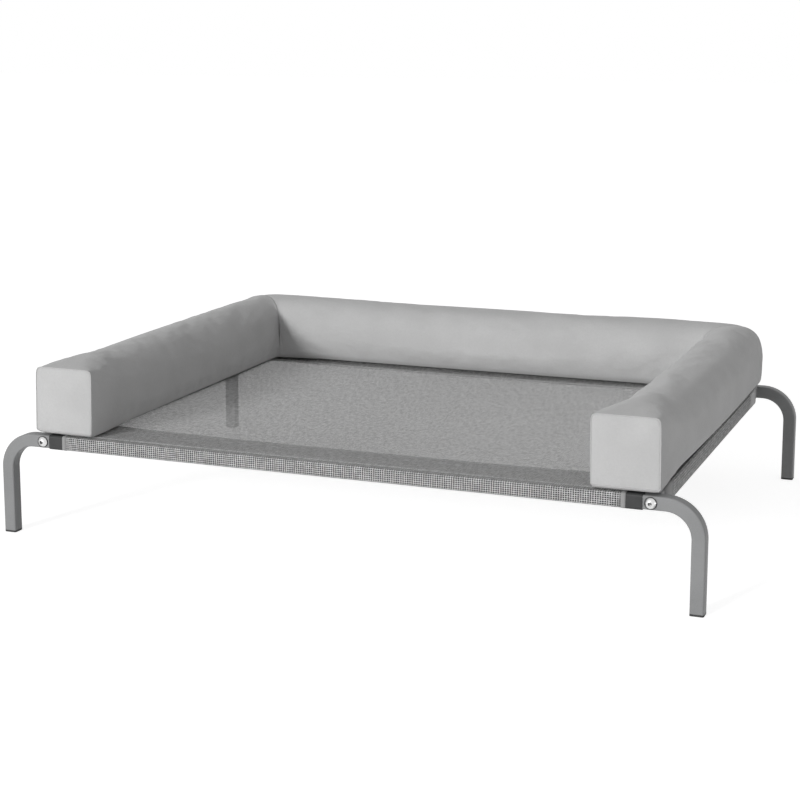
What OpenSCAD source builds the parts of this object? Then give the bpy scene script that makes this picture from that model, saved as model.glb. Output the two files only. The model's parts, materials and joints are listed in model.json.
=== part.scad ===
// Raised dog cot: a bolted frame of square steel tube, a stretched mesh deck
// and a three-sided bolster that lifts off.
// Millimetres. X runs along the length, Y from front to back, Z up.
// The origin is on the floor, midway between the four feet.

/* [Frame] */
// Length over the outer faces of the legs
frame_length = 1110; // [900:1:1400]
// Width over the front and back faces of the legs
frame_width = 785; // [600:1:950]
// Height of the rails' top faces above the floor
rail_top = 162; // [130:1:300]
// Outer width of the square tube
tube_size = 20; // [18:0.5:24]
// Wall of the square tube
tube_wall = 1.2; // [0.8:0.1:2]
// Outer corner radius of the square tube
tube_corner = 2.5; // [2.2:0.1:4]
// Radius of the leg bends, to the middle of the tube
bend_radius = 47; // [35:1:80]
// Straight tube between a corner bolt and the start of the bend
bolt_to_bend = 19.5; // [14:0.5:40]

/* [Connectors] */
// Length of the collar that shows between a leg and a long rail
collar_length = 23; // [15:1:40]
// Distance from the corner bolt to the collar
bolt_to_collar = 11.5; // [10:0.5:20]
// Tube left empty between the connector's bolted arm and the bend
arm_to_bend = 2; // [1:0.5:6]
// Length of the ribbed arm inside a long rail
rail_arm_length = 45; // [25:1:80]
// Thickness of the ribbed arm's webs
arm_web = 3; // [2:0.5:5]
// Gap between a plug and the tube around it
fit_gap = 0.3; // [0.1:0.1:0.6]

/* [Feet] */
// Thickness of the foot's rim under the leg
foot_rim = 3; // [2:0.5:8]
// Depth of the foot's plug inside the leg
foot_depth = 20; // [10:1:40]
// Wall of the foot's hollow plug
foot_wall = 2; // [1.5:0.5:4]

/* [Bolts] */
// Diameter of a bolt's shank
bolt_diameter = 8; // [6:0.5:9]
// Length of a bolt under its head
bolt_length = 45; // [36:1:55]
// Diameter of the button head
head_diameter = 15.5; // [13:0.5:18]
// Height of the button head
head_height = 4.5; // [3:0.5:6]
// Width across the flats of the hexagon socket
socket_width = 5; // [4:0.5:6]
// Depth of the hexagon socket
socket_depth = 2.5; // [1.5:0.5:2.5]
// Gap around a bolt in its holes
hole_gap = 0.3; // [0.1:0.1:0.5]
// Diameter of a washer
washer_diameter = 17.5; // [16:0.5:20]
// Thickness of a washer
washer_thickness = 1.5; // [1:0.1:2.5]
// Length of the threaded plug in each end of a side rail
thread_plug_length = 28; // [20:1:50]

/* [Mesh deck] */
// Thickness of the mesh
mesh_thickness = 1; // [0.6:0.1:1.5]
// Gap between the mesh and the tube inside it
mesh_gap = 0.2; // [0.1:0.1:0.4]
// Width of the doubled hem, from a rail's outer face to the hem's seam
hem_width = 100; // [50:1:150]
// Width of the tape that binds each end of a long sleeve
tape_width = 7; // [4:0.5:15]
// Width of the plain band that binds each end of a side sleeve
side_band_width = 50; // [10:1:70]
// Bare side rail between a leg and the band on its sleeve
side_setback = 20; // [10:1:60]
// Radius inside the notch at each corner of the deck
notch_corner = 12; // [4:1:20]

/* [Bolster] */
// Width of the bolster at its sewn ends
bolster_width = 100; // [80:1:130]
// Height of the bolster
bolster_height = 113; // [80:1:140]
// Height of the section's widest line above its base
shoulder_height = 46; // [35:1:60]
// Distance that the back corners stand out past the side rails
side_overhang = 11; // [0:0.5:20]
// Distance that the back stands out past the back legs
back_overhang = 3; // [0:0.5:20]
// Distance that each arm draws in from the back corner to its flat end
end_draw_in = 7; // [0:0.5:15]
// Distance that each arm drops to its flat end
end_drop = 4; // [0:0.5:15]
// Swell of each side between the sewn ends
bolster_swell = 2; // [0:0.5:6]
// Part of the rounded underside that is pressed flat
base_cut = 5; // [1:0.5:10]
// Length over which an arm rounds off behind its flat end
soften_length = 140; // [30:1:200]
// Squareness of the flat ends, as the power of a superellipse
end_power = 16; // [6:0.5:20]
// Squareness of the section's top on its outer side
outer_power = 3.2; // [2:0.1:6]
// Squareness of the section's top on its inner side
inner_power = 2.4; // [2:0.1:6]
// Squareness of the section's underside
base_power = 3.2; // [2:0.1:6]
// Radius of the outer back corners, seen from above
corner_radius = 55; // [30:1:95]
// Radius of the inner back corners, seen from above
crease_radius = 8; // [4:1:20]
// Thickness of the cover's cloth
cover_thickness = 1.5; // [1:0.1:3]
// Gap between the cover and the foam
foam_gap = 0.4; // [0.2:0.1:0.8]
// Gap between the bolster and what it rests on
rest_gap = 0.3; // [0.2:0.1:1]

/* [Hidden] */
// Smoothness of round shapes
$fn = 48;
// How far a cutting shape reaches past the surface that it cuts
cut_margin = 1;
// Smallest corner radius left on an inner section
least_corner = 0.2;

// Places of the rails and of the corner pieces
rail_z = rail_top - tube_size / 2;
long_rail_y = frame_width / 2 - tube_size / 2;
leg_inner_y = frame_width / 2 - tube_size;
bend_start_x = frame_length / 2 - tube_size / 2 - bend_radius;
side_rail_x = bend_start_x - bolt_to_bend;
collar_outer_x = side_rail_x - bolt_to_collar;
collar_inner_x = collar_outer_x - collar_length;

// Sections of the tube and of the pieces inside it
tube_bore = tube_size - 2 * tube_wall;
bore_corner = max(tube_corner - tube_wall, fit_gap + least_corner);
plug_size = tube_bore - 2 * fit_gap;
plug_corner = bore_corner - fit_gap;
bolt_hole = bolt_diameter + 2 * hole_gap;
leg_arm_length = bolt_to_collar + bolt_to_bend - arm_to_bend;

// Sections and ends of the mesh sleeves
sleeve_bore = tube_size + 2 * mesh_gap;
sleeve_bore_corner = tube_corner + mesh_gap;
sleeve_size = sleeve_bore + 2 * mesh_thickness;
sleeve_corner = sleeve_bore_corner + mesh_thickness;
deck_bottom = rail_top + mesh_gap;
deck_top = deck_bottom + mesh_thickness;
long_sleeve_x = collar_inner_x - tape_width;
side_sleeve_y = leg_inner_y - side_setback - side_band_width;
hem_seam_y = frame_width / 2 - hem_width;

// Faces of the bolster, and the upright line that its left corner turns about
bolster_bottom = deck_top + rest_gap;
bolster_front = -frame_width / 2;
bolster_outer_x = side_rail_x + tube_size / 2 + side_overhang;
bolster_back = frame_width / 2 + back_overhang;
turn_x = bolster_width + crease_radius - bolster_outer_x;
turn_y = bolster_back - bolster_width - crease_radius;

// Counts of the rings that make the bolster's soft surfaces
ring_count = 28;
arm_steps = 7;
turn_steps = 4;
back_steps = 9;
mitre_angle = 45;
// How strongly an arm's rings crowd towards its flat end
arm_crowding = 1.5;

// Distance between the last two rings at the mitre seam's inner edge, and the share of it that foam leaves
mitre_step = crease_radius * tan(mitre_angle / turn_steps);
foam_mitre_share = foam_gap / mitre_step / 2;

steel_grey = [0.56, 0.57, 0.57];
dark_plastic = [0.25, 0.25, 0.26];
mesh_grey = [0.6, 0.6, 0.61];
tape_grey = [0.75, 0.75, 0.76];
cloth_grey = [0.72, 0.72, 0.73];
foam_white = [0.92, 0.91, 0.86];
zinc = [0.82, 0.83, 0.84];

// A rectangle with round corners, about the origin
module rounded_rectangle(size, corner) {
    square([size.x, size.y - 2 * corner], center = true);
    square([size.x - 2 * corner, size.y], center = true);
    for (x = [-1, 1], y = [-1, 1])
        translate([x * (size.x / 2 - corner), y * (size.y / 2 - corner)])
            circle(corner);
}

// A square with round corners, about the origin
module rounded_square(size, corner) {
    rounded_rectangle([size, size], corner);
}

// A square ring with round corners, about the origin
module square_ring(size, corner, bore, bore_corner) {
    difference() {
        rounded_square(size, corner);
        rounded_square(bore, bore_corner);
    }
}

// Extrudes a section along X from one place to another, its first axis along Y and its second along Z
module along_x(from, to) {
    translate([from, 0, 0])
        rotate([90, 0, 90])
            linear_extrude(to - from)
                children();
}

// Extrudes a section along Y from one place to another, its first axis along X and its second along Z
module along_y(from, to) {
    translate([0, to, 0])
        rotate([90, 0, 0])
            linear_extrude(to - from)
                children();
}

// Takes a piece of the back right corner to the corner on the given sides, each -1 or 1
module at_corner(side, end) {
    mirror([side < 0 ? 1 : 0, 0, 0])
        mirror([0, end < 0 ? 1 : 0, 0])
            children();
}

// The same piece at all four corners
module at_all_corners() {
    for (side = [-1, 1], end = [-1, 1])
        at_corner(side, end)
            children();
}

// The path of a leg: a level stub, the bend and the upright, with a given section and ends
module leg_path(size, corner, stub_end, foot_end) {
    translate([0, long_rail_y, rail_z])
        along_x(stub_end, bend_start_x)
            rounded_square(size, corner);
    translate([bend_start_x, long_rail_y, rail_z - bend_radius])
        rotate([90, 0, 0])
            rotate_extrude(angle = 90)
                translate([bend_radius, 0])
                    rounded_square(size, corner);
    translate([bend_start_x + bend_radius, long_rail_y, foot_end])
        linear_extrude(rail_z - bend_radius - foot_end)
            rounded_square(size, corner);
}

// The hole for a corner bolt, across the long rail's line
module bolt_bore() {
    translate([side_rail_x, long_rail_y, rail_z])
        rotate([90, 0, 0])
            cylinder(h = tube_size + 2 * cut_margin, d = bolt_hole, center = true);
}

module leg(side, end) {
    color(steel_grey)
        at_corner(side, end)
            difference() {
                leg_path(tube_size, tube_corner, collar_outer_x, foot_rim);
                leg_path(tube_bore, bore_corner, collar_outer_x - cut_margin, foot_rim - cut_margin);
                bolt_bore();
            }
}

module foot(side, end) {
    foot_bore = plug_size - 2 * foot_wall;
    color(dark_plastic)
        at_corner(side, end)
            translate([bend_start_x + bend_radius, long_rail_y, 0]) {
                linear_extrude(foot_rim)
                    rounded_square(tube_size, tube_corner);
                translate([0, 0, foot_rim])
                    difference() {
                        linear_extrude(foot_depth)
                            rounded_square(plug_size, plug_corner);
                        translate([0, 0, (foot_depth + cut_margin) / 2])
                            cube([foot_bore, foot_bore, foot_depth + cut_margin], center = true);
                    }
            }
}

// The hollow section of a rail
module tube_section() {
    square_ring(tube_size, tube_corner, tube_bore, bore_corner);
}

module long_rail(end) {
    color(steel_grey)
        translate([0, end * long_rail_y, rail_z])
            along_x(-collar_inner_x, collar_inner_x)
                tube_section();
}

module side_rail(side) {
    color(steel_grey)
        translate([side * side_rail_x, 0, rail_z])
            along_y(-leg_inner_y, leg_inner_y)
                tube_section();
}

// The section of a connector's arm in a long rail: crossed webs that fill the bore
module ribbed_section() {
    intersection() {
        rounded_square(plug_size, plug_corner);
        union() {
            square([plug_size, arm_web], center = true);
            square([arm_web, plug_size], center = true);
        }
    }
}

module connector(side, end) {
    color(dark_plastic)
        at_corner(side, end)
            difference() {
                translate([0, long_rail_y, rail_z]) {
                    along_x(collar_inner_x, collar_outer_x)
                        rounded_square(sleeve_size, sleeve_corner);
                    along_x(collar_outer_x, collar_outer_x + leg_arm_length)
                        rounded_square(plug_size, plug_corner);
                    along_x(collar_inner_x - rail_arm_length, collar_inner_x)
                        ribbed_section();
                }
                bolt_bore();
            }
}

module thread_plug(side, end) {
    color(zinc)
        at_corner(side, end)
            translate([side_rail_x, 0, rail_z])
                difference() {
                    along_y(leg_inner_y - thread_plug_length, leg_inner_y)
                        rounded_square(plug_size, plug_corner);
                    along_y(leg_inner_y - thread_plug_length - cut_margin, leg_inner_y + cut_margin)
                        circle(d = bolt_hole);
                }
}

// A round-headed bolt that points down, with the underside of its head at the origin
module button_bolt() {
    dome_radius = (pow(head_diameter / 2, 2) + pow(head_height, 2)) / (2 * head_height);
    translate([0, 0, -bolt_length])
        cylinder(h = bolt_length, d = bolt_diameter);
    difference() {
        intersection() {
            cylinder(h = head_height, d = head_diameter);
            translate([0, 0, head_height - dome_radius])
                sphere(dome_radius);
        }
        translate([0, 0, head_height - socket_depth])
            cylinder(h = socket_depth + cut_margin, d = socket_width / cos(30), $fn = 6);
    }
}

// Turns a shape that stands on the floor to stand on the outer face of the back right leg's stub
module on_stub_face() {
    translate([side_rail_x, frame_width / 2, rail_z])
        rotate([-90, 0, 0])
            children();
}

module corner_bolts() {
    color(zinc)
        at_all_corners()
            on_stub_face()
                translate([0, 0, washer_thickness])
                    button_bolt();
}

module bolt_washers() {
    color(dark_plastic)
        at_all_corners()
            on_stub_face()
                difference() {
                    cylinder(h = washer_thickness, d = washer_diameter);
                    translate([0, 0, -cut_margin])
                        cylinder(h = washer_thickness + 2 * cut_margin, d = bolt_hole);
                }
}

// The deck's outline: a tongue over each rail, with a notch at each corner
module mesh_deck() {
    notch_x = 2 * (side_rail_x - long_sleeve_x);
    notch_y = 2 * (long_rail_y - side_sleeve_y);
    color(mesh_grey)
        translate([0, 0, deck_bottom])
            linear_extrude(mesh_thickness)
                difference() {
                    square(2 * [side_rail_x, long_rail_y], center = true);
                    for (x = [-1, 1], y = [-1, 1])
                        translate([x * side_rail_x, y * long_rail_y])
                            rounded_rectangle([notch_x, notch_y], notch_corner);
                }
}

// The closed ring of mesh or tape round a rail
module sleeve_ring() {
    square_ring(sleeve_size, sleeve_corner, sleeve_bore, sleeve_bore_corner);
}

// The mesh that wraps a rail, open on top where the deck runs onto it; its first axis points inward
module wrap_section() {
    difference() {
        sleeve_ring();
        translate([0, sleeve_bore / 2])
            square([sleeve_size, sleeve_size]);
    }
}

// The doubled hem under the deck, from the wrapped rail to the hem's seam
module hem_section() {
    translate([tube_size / 2, sleeve_bore / 2 - mesh_thickness])
        square([hem_width - tube_size, mesh_thickness]);
}

module long_sleeve(end) {
    color(mesh_grey)
        mirror([0, end > 0 ? 1 : 0, 0])
            translate([0, -long_rail_y, rail_z])
                along_x(-long_sleeve_x, long_sleeve_x) {
                    wrap_section();
                    hem_section();
                }
}

// A side sleeve's hem ends between the hems of the long sleeves
module side_sleeve(side) {
    hem_half = min(hem_seam_y - mesh_gap, side_sleeve_y);
    color(mesh_grey)
        mirror([side > 0 ? 1 : 0, 0, 0])
            translate([-side_rail_x, 0, rail_z]) {
                along_y(-side_sleeve_y, side_sleeve_y)
                    wrap_section();
                along_y(-hem_half, hem_half)
                    hem_section();
            }
}

module sleeve_end_tapes() {
    color(tape_grey)
        at_all_corners() {
            translate([0, long_rail_y, rail_z])
                along_x(long_sleeve_x, long_sleeve_x + tape_width)
                    sleeve_ring();
            translate([side_rail_x, 0, rail_z])
                along_y(side_sleeve_y, side_sleeve_y + side_band_width)
                    sleeve_ring();
        }
}

// A station of the bolster is [middle, outward direction, half width, squareness], seen from above,
// where squareness is the share of the way from the soft section to that of the flat ends

// Squareness of the section at a distance behind the flat end
function squareness_at(distance) = pow(max(0, 1 - distance / soften_length), 2);

// Distance that an arm is drawn in, at a share of the way from its flat end to the corner
function draw_in_at(share) = end_draw_in * (1 - sin(90 * share));

// Swell of a side at a share of the way along it
function swell_at(share) = bolster_swell * sin(180 * share);

// Distance from the turning line to the rounded outer corner, at an angle from the left arm
function turn_reach(angle) =
    let (
        face = bolster_width + crease_radius,
        centre = face - corner_radius,
        lean = min(angle, 90 - angle),
        along = centre * (cos(lean) + sin(lean))
    )
    face * tan(lean) <= centre
        ? face / cos(lean)
        : along + sqrt(pow(along, 2) - 2 * pow(centre, 2) + pow(corner_radius, 2));

// Station of the left corner at an angle from the left arm
function turn_station(angle) =
    let (
        outward = [-cos(angle), sin(angle)],
        half_width = (turn_reach(angle) - crease_radius) / 2
    )
    [[turn_x, turn_y] + outward * (crease_radius + half_width), outward, half_width, 0];

// The same station on the right-hand side
function mirrored(station) =
    [[-station[0].x, station[0].y], [-station[1].x, station[1].y], station[2], station[3]];

// Stations of the left arm, from the back of its flat end to the mitre seam
function arm_stations() =
    let (front = bolster_front + cover_thickness)
    concat(
        [for (step = [0 : arm_steps])
            let (
                share = pow(step / arm_steps, arm_crowding),
                x = turn_x - crease_radius - bolster_width / 2 + draw_in_at(share),
                y = front + (turn_y - front) * share
            )
            [[x, y], [-1, 0], bolster_width / 2 + swell_at(share), squareness_at(y - bolster_front)]],
        [for (step = [1 : turn_steps])
            turn_station(step / turn_steps * mitre_angle)]
    );

// Stations of the back, from the left mitre seam to the right one
function back_stations() =
    let (
        left_turn = [for (step = [0 : turn_steps])
            let (share = step / turn_steps)
            turn_station(mitre_angle * (1 - share) + 90 * share)],
        straight = [for (step = [1 : back_steps - 1])
            let (share = step / back_steps)
            [[turn_x * (1 - 2 * share), turn_y + crease_radius + bolster_width / 2], [0, 1],
             bolster_width / 2 + swell_at(share), 0]],
        right_turn = [for (step = [0 : turn_steps])
            mirrored(left_turn[turn_steps - step])]
    )
    concat(left_turn, straight, right_turn);

// The station at a share of the way from one station to another
function station_between(from, to, share) =
    [for (i = [0 : len(from) - 1]) from[i] + (to[i] - from[i]) * share];

// The stations with each end moved in by a share of the way to its neighbour
function trimmed(stations, first_share, last_share) =
    let (last = len(stations) - 1)
    concat(
        [station_between(stations[0], stations[1], first_share)],
        [for (i = [1 : last - 1]) stations[i]],
        [station_between(stations[last], stations[last - 1], last_share)]
    );

// A share of the full size, bent to the superellipse of the given power
function bent(share, power) = sign(share) * pow(abs(share), 2 / power);

// Point on a station's section, pushed inward by an inset
function section_point(station, angle, inset) =
    let (
        below = sin(angle) < 0,
        soft_power = below ? base_power : cos(angle) > 0 ? outer_power : inner_power,
        power = soft_power + (end_power - soft_power) * station[3],
        across = (station[2] - inset) * bent(cos(angle), power),
        crown = bolster_height - end_drop * station[3],
        reach = (below ? shoulder_height + base_cut : crown - shoulder_height) - inset,
        height = shoulder_height + reach * bent(sin(angle), power),
        place = station[0] + station[1] * across
    )
    [place.x, place.y, bolster_bottom + max(height, inset)];

function section_ring(station, inset) =
    [for (i = [0 : ring_count - 1]) section_point(station, 360 * i / ring_count, inset)];

function all_rings(stations, inset) =
    [for (station = stations) each section_ring(station, inset)];

// Triangles between neighbouring rings, facing out or in
function wall_faces(first, rings, inward) =
    [for (ring = [0 : rings - 2], i = [0 : ring_count - 1])
        let (
            a = first + ring * ring_count + i,
            b = first + ring * ring_count + (i + 1) % ring_count,
            c = a + ring_count,
            d = b + ring_count
        )
        each inward ? [[a, c, b], [b, c, d]] : [[a, b, c], [b, d, c]]];

// Triangles between an outer ring and the inner ring at the same station
function edge_faces(outer, inner, flipped) =
    [for (i = [0 : ring_count - 1])
        let (
            a = outer + i,
            b = outer + (i + 1) % ring_count,
            c = inner + i,
            d = inner + (i + 1) % ring_count
        )
        each flipped ? [[a, b, c], [b, d, c]] : [[a, c, b], [b, c, d]]];

// Triangles that close a ring
function cap_faces(first, flipped) =
    [for (i = [1 : ring_count - 2])
        flipped ? [first, first + i, first + i + 1] : [first, first + i + 1, first + i]];

// A sewn tube of cloth along the stations, open at both ends
module cloth_tube(stations) {
    rings = len(stations);
    inner = rings * ring_count;
    last = (rings - 1) * ring_count;
    polyhedron(
        points = concat(all_rings(stations, 0), all_rings(stations, cover_thickness)),
        faces = concat(
            wall_faces(0, rings, false),
            wall_faces(inner, rings, true),
            edge_faces(0, inner, false),
            edge_faces(last, inner + last, true)
        )
    );
}

// Foam that fills a cloth tube along the stations
module foam_block(stations) {
    rings = len(stations);
    polyhedron(
        points = all_rings(stations, cover_thickness + foam_gap),
        faces = concat(
            wall_faces(0, rings, false),
            cap_faces(0, false),
            cap_faces((rings - 1) * ring_count, true)
        )
    );
}

module bolster_arm_cover(side) {
    color(cloth_grey)
        mirror([side > 0 ? 1 : 0, 0, 0])
            cloth_tube(arm_stations());
}

module bolster_back_cover() {
    color(cloth_grey)
        cloth_tube(back_stations());
}

// The flat panel that closes the front end of an arm
module bolster_end(side) {
    station = arm_stations()[0];
    color(cloth_grey)
        mirror([side > 0 ? 1 : 0, 0, 0])
            along_y(bolster_front, bolster_front + cover_thickness)
                polygon([for (point = section_ring(station, 0)) [point.x, point.z]]);
}

module bolster_arm_core(side) {
    stations = arm_stations();
    front_share = foam_gap / (stations[1][0].y - stations[0][0].y);
    color(foam_white)
        mirror([side > 0 ? 1 : 0, 0, 0])
            foam_block(trimmed(stations, front_share, foam_mitre_share));
}

module bolster_back_core() {
    color(foam_white)
        foam_block(trimmed(back_stations(), foam_mitre_share, foam_mitre_share));
}

leg(-1, -1);  // leg_front_left
leg(1, -1);  // leg_front_right
leg(-1, 1);  // leg_back_left
leg(1, 1);  // leg_back_right
foot(-1, -1);  // foot_front_left
foot(1, -1);  // foot_front_right
foot(-1, 1);  // foot_back_left
foot(1, 1);  // foot_back_right
long_rail(-1);  // front_rail
long_rail(1);  // back_rail
side_rail(-1);  // left_rail
side_rail(1);  // right_rail
connector(-1, -1);  // connector_front_left
connector(1, -1);  // connector_front_right
connector(-1, 1);  // connector_back_left
connector(1, 1);  // connector_back_right
thread_plug(-1, -1);  // thread_plug_front_left
thread_plug(1, -1);  // thread_plug_front_right
thread_plug(-1, 1);  // thread_plug_back_left
thread_plug(1, 1);  // thread_plug_back_right
corner_bolts();
bolt_washers();
mesh_deck();
long_sleeve(-1);  // front_sleeve
long_sleeve(1);  // back_sleeve
side_sleeve(-1);  // left_sleeve
side_sleeve(1);  // right_sleeve
sleeve_end_tapes();
bolster_arm_cover(-1);  // bolster_left_cover
bolster_back_cover();
bolster_arm_cover(1);  // bolster_right_cover
bolster_end(-1);  // bolster_left_end
bolster_end(1);  // bolster_right_end
bolster_arm_core(-1);  // bolster_left_core
bolster_back_core();
bolster_arm_core(1);  // bolster_right_core
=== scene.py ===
"""Looks of the raised dog cot: painted tube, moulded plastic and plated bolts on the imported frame, a mesh
deck that sags between its sewn sleeves, and a stuffed three-sided bolster.

Metres, in the frame's own axes."""
import json
import math
from collections import namedtuple

import bmesh
import bpy
import numpy as np
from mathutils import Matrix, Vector


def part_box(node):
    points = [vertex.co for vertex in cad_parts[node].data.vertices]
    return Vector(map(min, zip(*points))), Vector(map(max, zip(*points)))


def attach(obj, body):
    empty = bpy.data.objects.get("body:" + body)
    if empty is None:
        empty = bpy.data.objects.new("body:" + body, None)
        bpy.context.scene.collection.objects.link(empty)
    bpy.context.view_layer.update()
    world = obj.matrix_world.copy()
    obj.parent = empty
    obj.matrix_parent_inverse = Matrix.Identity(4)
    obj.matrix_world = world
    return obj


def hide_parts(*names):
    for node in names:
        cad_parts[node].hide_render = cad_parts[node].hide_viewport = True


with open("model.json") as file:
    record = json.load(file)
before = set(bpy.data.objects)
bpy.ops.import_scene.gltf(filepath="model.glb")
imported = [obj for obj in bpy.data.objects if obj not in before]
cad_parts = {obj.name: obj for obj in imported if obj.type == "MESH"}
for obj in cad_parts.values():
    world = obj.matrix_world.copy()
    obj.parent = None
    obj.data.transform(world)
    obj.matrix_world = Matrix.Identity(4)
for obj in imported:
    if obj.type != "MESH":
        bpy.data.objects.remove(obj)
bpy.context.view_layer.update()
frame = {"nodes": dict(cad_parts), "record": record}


# Sizes that the frame gives
front_rail_low, front_rail_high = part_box("front_rail")
right_rail_low, right_rail_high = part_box("right_rail")
front_sleeve_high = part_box("front_sleeve")[1]
right_sleeve_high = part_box("right_sleeve")[1]
front_leg_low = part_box("leg_front_left")[0]
back_leg_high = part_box("leg_back_left")[1]
deck_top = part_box("mesh_deck")[1].z

tube_size = front_rail_high.y - front_rail_low.y
rail_z = (front_rail_low.z + front_rail_high.z) / 2
long_rail_y = -(front_rail_low.y + front_rail_high.y) / 2
side_rail_x = (right_rail_low.x + right_rail_high.x) / 2
long_sleeve_x = front_sleeve_high.x
side_sleeve_y = right_sleeve_high.y
hem_reach = front_sleeve_high.y + long_rail_y

# Sizes of the mesh
HOLE_PITCH = (0.00348, 0.0030)
YARN_HALF_WIDTH = 0.00062
MESH_THICKNESS = 0.0003
MESH_OFFSET = 0.0007
MESH_CORNER = 0.0032
HEM_DROP = 0.0011
SIDE_HEM = 0.064
SIDE_SLACK = 0.0055
DECK_SAG = 0.009
SAG_POWER = 3.0
GRID_STEP = 0.012
CORNER_STEPS = 5
TURN_UNDER_STEPS = 4
HEM_STEPS = 8

deck_level = rail_z + tube_size / 2 + MESH_OFFSET
side_hem_half = long_rail_y - hem_reach

# Sizes of the tapes and the stitches
LONG_TAPE = 0.007
SIDE_BAND = 0.050
TAPE_OFFSET = 0.0011
TAPE_CROWN = 1.1
TAPE_EDGE = 0.0003
TAPE_EDGE_OFFSET = 0.0002
STITCH_PITCH = 0.0046
STITCH_LENGTH = 0.0034
STITCH_RADIUS = 0.00045
STITCH_ROWS = (0.0015, 0.0065)
STITCH_SIDES = 6
# Rings of a stitch: place along it as a share of its length, thickness and lift as shares of its radius
STITCH_RINGS = ((-0.5, 0.4, -0.3), (-0.3, 1.0, 0.5), (0.3, 1.0, 0.5), (0.5, 0.4, -0.3))

# Shape of the bolster: near the construction's, and fitted more closely to the photograph
BOLSTER_WIDTH = 0.100
BOLSTER_HEIGHT = 0.112
SHOULDER_HEIGHT = 0.046
SIDE_OVERHANG = 0.011
BACK_OVERHANG = 0.003
END_DRAW_IN = {"left": 0.009, "right": 0.0065}
END_LEAN = {"left": 0.003, "right": 0.0015}
OUTER_RISE = {"left": 0.005, "back": 0.0045, "right": 0.001}
CORNER_RISE = {"left": 0.0, "right": -0.003}
CORNER_FALL = 12
END_NARROWING = 0.0015
END_DROP = 0.0055
BOLSTER_SWELL = 0.002
BASE_CUT = 0.005
SOFTEN_LENGTH = 0.140
END_POWER = 16.0
OUTER_POWER = 3.2
INNER_POWER = 2.8
BASE_POWER = 4.5
BACK_BASE_POWER = 2.5
BASE_EASE = 4.0
CORNER_RADIUS = 0.055
CREASE_RADIUS = 0.008
REST_GAP = 0.0003

bolster_bottom = deck_top + REST_GAP
bolster_front = front_leg_low.y
bolster_back = back_leg_high.y + BACK_OVERHANG
bolster_outer_x = right_rail_high.x + SIDE_OVERHANG
turn_x = BOLSTER_WIDTH + CREASE_RADIUS - bolster_outer_x
turn_y = bolster_back - BOLSTER_WIDTH - CREASE_RADIUS

# Foot of the bolster: how far its end panels and outer edge are lifted, and how high its painted shade
# reaches
PANEL_LIFT = 0.0065
LIFT_FALL = 20
FOOT_LIFT = 0.0125
FOOT_START = 0.78
FOOT_RUN = 0.1
INNER_SHADE_HEIGHT = 0.0012
OUTER_SHADE_HEIGHT = 0.012
SHADE_EDGE = 0.001

# Fineness of the bolster's skin, and how its stuffing and seams shape it
RING_POINTS = 84
ARM_RINGS = 70
BACK_RINGS = 84
TURN_RINGS = 12
PANEL_RINGS = 8
ARM_CROWDING = 1.2
PANEL_BULGE = 0.004
PANEL_CREASE = 0.8
SEAM_DIP = 0.0009
SEAM_REACH = 0.006
WELT_RADIUS = 0.0009
WELT_SIDES = 8
PINNED_HEIGHT = 0.014
SIMULATED_FRAMES = 12
PRESSURE = 4.0
SKIN_SLACK = 0.004
LARGEST_MOVE = 0.005
SMALLEST_MOVE = 1e-9
SKIN_SETTINGS = {
    "mass": 0.01,
    "quality": 6,
    "tension_stiffness": 12.0,
    "compression_stiffness": 12.0,
    "shear_stiffness": 4.0,
    "bending_stiffness": 0.3,
}
# Soft folds in the skin: the pad, the ends of the fold's line, its width and its height
FOLDS = (
    ("right", (0.404, -0.085, 0.268), (0.446, -0.225, 0.272), 0.012, -0.0032),
    ("right", (0.400, 0.24, 0.268), (0.440, 0.12, 0.272), 0.016, 0.0025),
    ("left", (-0.402, 0.310, 0.258), (-0.398, 0.130, 0.238), 0.016, 0.0035),
    ("left", (-0.430, -0.370, 0.270), (-0.400, -0.230, 0.262), 0.016, 0.0025),
    ("back", (-0.345, 0.305, 0.255), (-0.300, 0.298, 0.185), 0.020, 0.0022),
    ("back", (0.345, 0.305, 0.260), (0.300, 0.298, 0.195), 0.020, 0.0022),
    ("back", (0.08, 0.335, 0.272), (0.26, 0.318, 0.258), 0.018, 0.0018),
)
# Hollow beside a fold, as a share of its height and at a number of its widths, and how far a fold reaches
HOLLOW_DEPTH = 0.7
HOLLOW_PLACE = 1.7
FOLD_REACH = 4
FOLD_REACH_POWER = 4

# Tones of the materials, as linear grey levels; a pair is the darker and the lighter end of a noise
PAINT_TONES = (0.23, 0.265)
PAINT_FLECK = 0.32
# Painted shade of the tube inside the sleeves, seen through the mesh's holes
SLEEVE_CAVITY_SHADE = 0.02
PLASTIC_TONES = (0.028, 0.039)
ZINC_TONES = (0.62, 0.80)
# Painted shade in the bolts' sockets
SOCKET_SHADE = 0.03
YARN_TONES = (0.70, 0.76)
DARK_YARN = 0.32
YARN_FIBRE = 0.78
# Painted shade at the rims of the mesh's holes
HOLE_RIM_SHADE = 0.02
TAPE_TONES = (0.48, 0.66)
# Painted shade on the tapes and thread at the front of the cot
FRONT_TAPE_SHADE = 0.24
CLOTH_TONES = (0.465, 0.515)
CLOTH_TUFT = 0.42
CLOTH_FIBRE = 0.63
# Painted shade along the bolster's foot, for the dark gap under its edges
FOOT_SHADE_TONE = 0.015

# Other looks: how warm the greys of paint and plastic are, below 0 towards blue, the sheen of the pile, the
# rim of the painted shade in a bolt's socket as radii, how much finer the bolts' scratches are along each
# axis, and half the run over which the painted shade of the front tapes gives way to the back ones' tone
PAINT_WARMTH = -0.01
PLASTIC_WARMTH = -0.02
CLOTH_SHEEN = 0.22
SOCKET_SHADE_RIM = (0.0024, 0.0031)
SCRATCH_FINENESS = (1.0, 1.0, 12.0)
FRONT_SHADE_FADE = 0.05

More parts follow.
